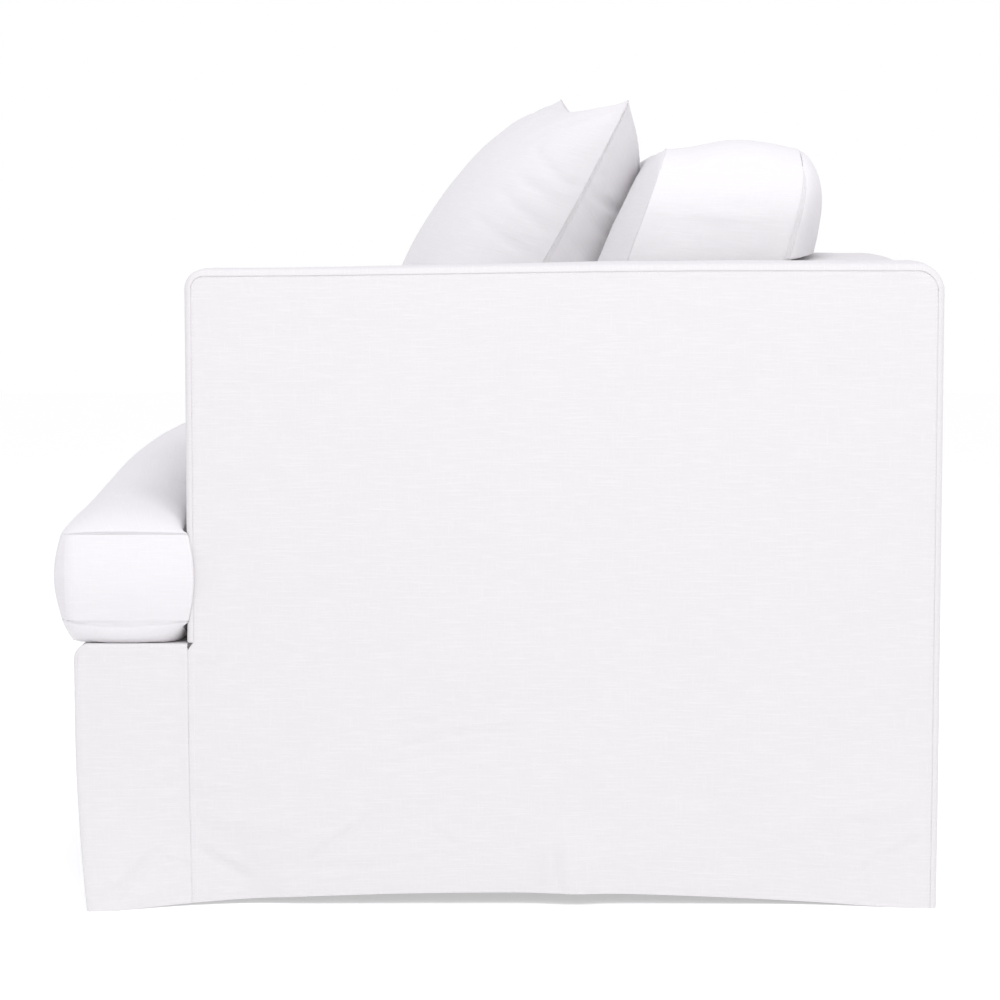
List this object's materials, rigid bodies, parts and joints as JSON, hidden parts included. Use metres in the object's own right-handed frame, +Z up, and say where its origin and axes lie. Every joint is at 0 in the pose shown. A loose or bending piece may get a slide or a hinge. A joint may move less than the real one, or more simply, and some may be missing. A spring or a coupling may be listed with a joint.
{
  "type": "armchair slipcover with covered cushions",
  "caption": "Fitted, hollow armchair cover that hangs to the floor, with a T-shaped seat cushion, a boxed back cushion and a scatter pillow.",
  "frame": {"origin": "on the floor, under the middle of the cover's box", "axes": "+Z up, the cover's front faces -Y, +X to the right of someone who looks at its back"},
  "size_m": [1.0919, 0.959, 0.9133],
  "materials": {
    "cover_cloth": "matte",
    "inner_cloth": "matte",
    "cushion_cloth": "matte"
  },
  "bodies": {
    "root": {"side_panel_left": "cover_cloth", "side_panel_right": "cover_cloth", "front_return_left": "cover_cloth", "front_return_right": "cover_cloth", "arm_strip_left": "cover_cloth", "arm_strip_right": "cover_cloth", "inside_arm_left": "inner_cloth", "inside_arm_right": "inner_cloth", "inside_back": "inner_cloth", "back_strip": "cover_cloth", "outside_back": "cover_cloth", "deck": "inner_cloth", "deck_front": "cover_cloth", "front_panel": "cover_cloth", "seat_cushion": "cushion_cloth", "back_cushion": "cushion_cloth", "pillow": "cushion_cloth"}
  },
  "joints": []
}
